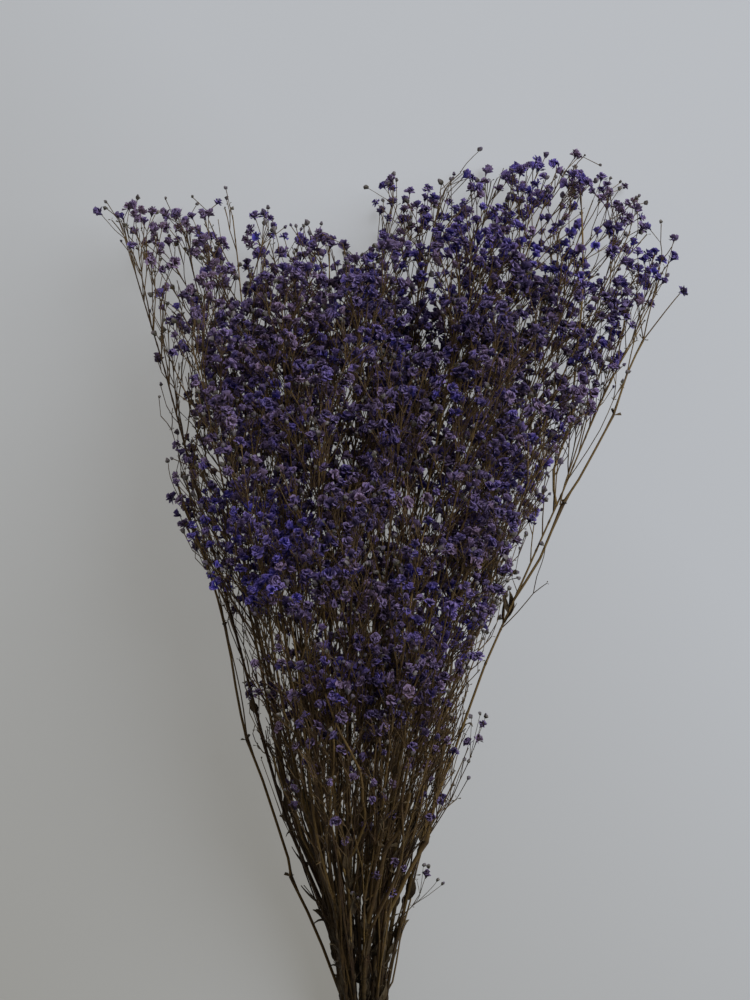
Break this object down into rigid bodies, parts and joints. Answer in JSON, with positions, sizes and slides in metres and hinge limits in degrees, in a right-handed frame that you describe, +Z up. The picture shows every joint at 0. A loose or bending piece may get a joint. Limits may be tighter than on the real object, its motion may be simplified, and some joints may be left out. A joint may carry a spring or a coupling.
{
  "type": "preserved gypsophila bunch",
  "caption": "Tied bunch of dyed, dried gypsophila lying on its side, a flattened fan of fine branching stems with blue-violet flower clusters.",
  "frame": {"origin": "on the surface that the bunch lies on, under the middle of its bounding box", "axes": "+Y along the bunch from the cut ends to the flowers, +X across the fan, +Z up from the surface"},
  "size_m": [0.3358, 0.6984, 0.1645],
  "materials": {
    "dried_stem": "matte",
    "dyed_flowers": "matte",
    "dry_leaf": "matte",
    "elastic_band": "satin"
  },
  "bodies": {
    "root": {"stem_01": "dried_stem", "stem_02": "dried_stem", "stem_03": "dried_stem", "stem_04": "dried_stem", "stem_05": "dried_stem", "stem_06": "dried_stem", "stem_07": "dried_stem", "stem_08": "dried_stem", "stem_09": "dried_stem", "stem_10": "dried_stem", "stem_11": "dried_stem", "stem_12": "dried_stem", "stem_13": "dried_stem", "stem_14": "dried_stem", "stem_15": "dried_stem", "stem_16": "dried_stem", "stem_17": "dried_stem", "stem_18": "dried_stem", "stem_19": "dried_stem", "stem_20": "dried_stem", "stem_21": "dried_stem", "stem_22": "dried_stem", "stem_23": "dried_stem", "stem_24": "dried_stem", "stem_25": "dried_stem", "stem_26": "dried_stem", "elastic_band": "elastic_band"}
  },
  "joints": []
}
